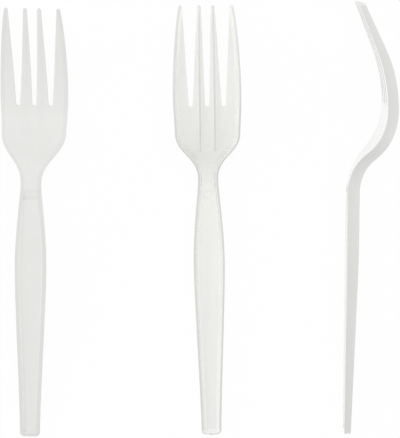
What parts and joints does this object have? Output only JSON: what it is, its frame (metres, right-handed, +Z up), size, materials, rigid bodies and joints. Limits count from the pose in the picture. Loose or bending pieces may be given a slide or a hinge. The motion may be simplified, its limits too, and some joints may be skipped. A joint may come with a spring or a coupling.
{
  "type": "plastic fork set",
  "caption": "Set of disposable moulded plastic forks with rimmed, ribbed heads and sunk handle panels, laid face up, face down and on edge.",
  "frame": {"origin": "on the ground, under the middle of the set's box", "axes": "+Y along the forks from the handles' ends to the tips, +X from the face-up fork to the fork on its edge, +Z up"},
  "size_m": [0.14, 0.1574, 0.025],
  "materials": {
    "white_plastic": "satin, slightly translucent moulded polypropylene"
  },
  "bodies": {
    "root": {"fork_face_up": "white_plastic", "fork_face_down": "white_plastic", "fork_on_edge": "white_plastic"}
  },
  "joints": []
}
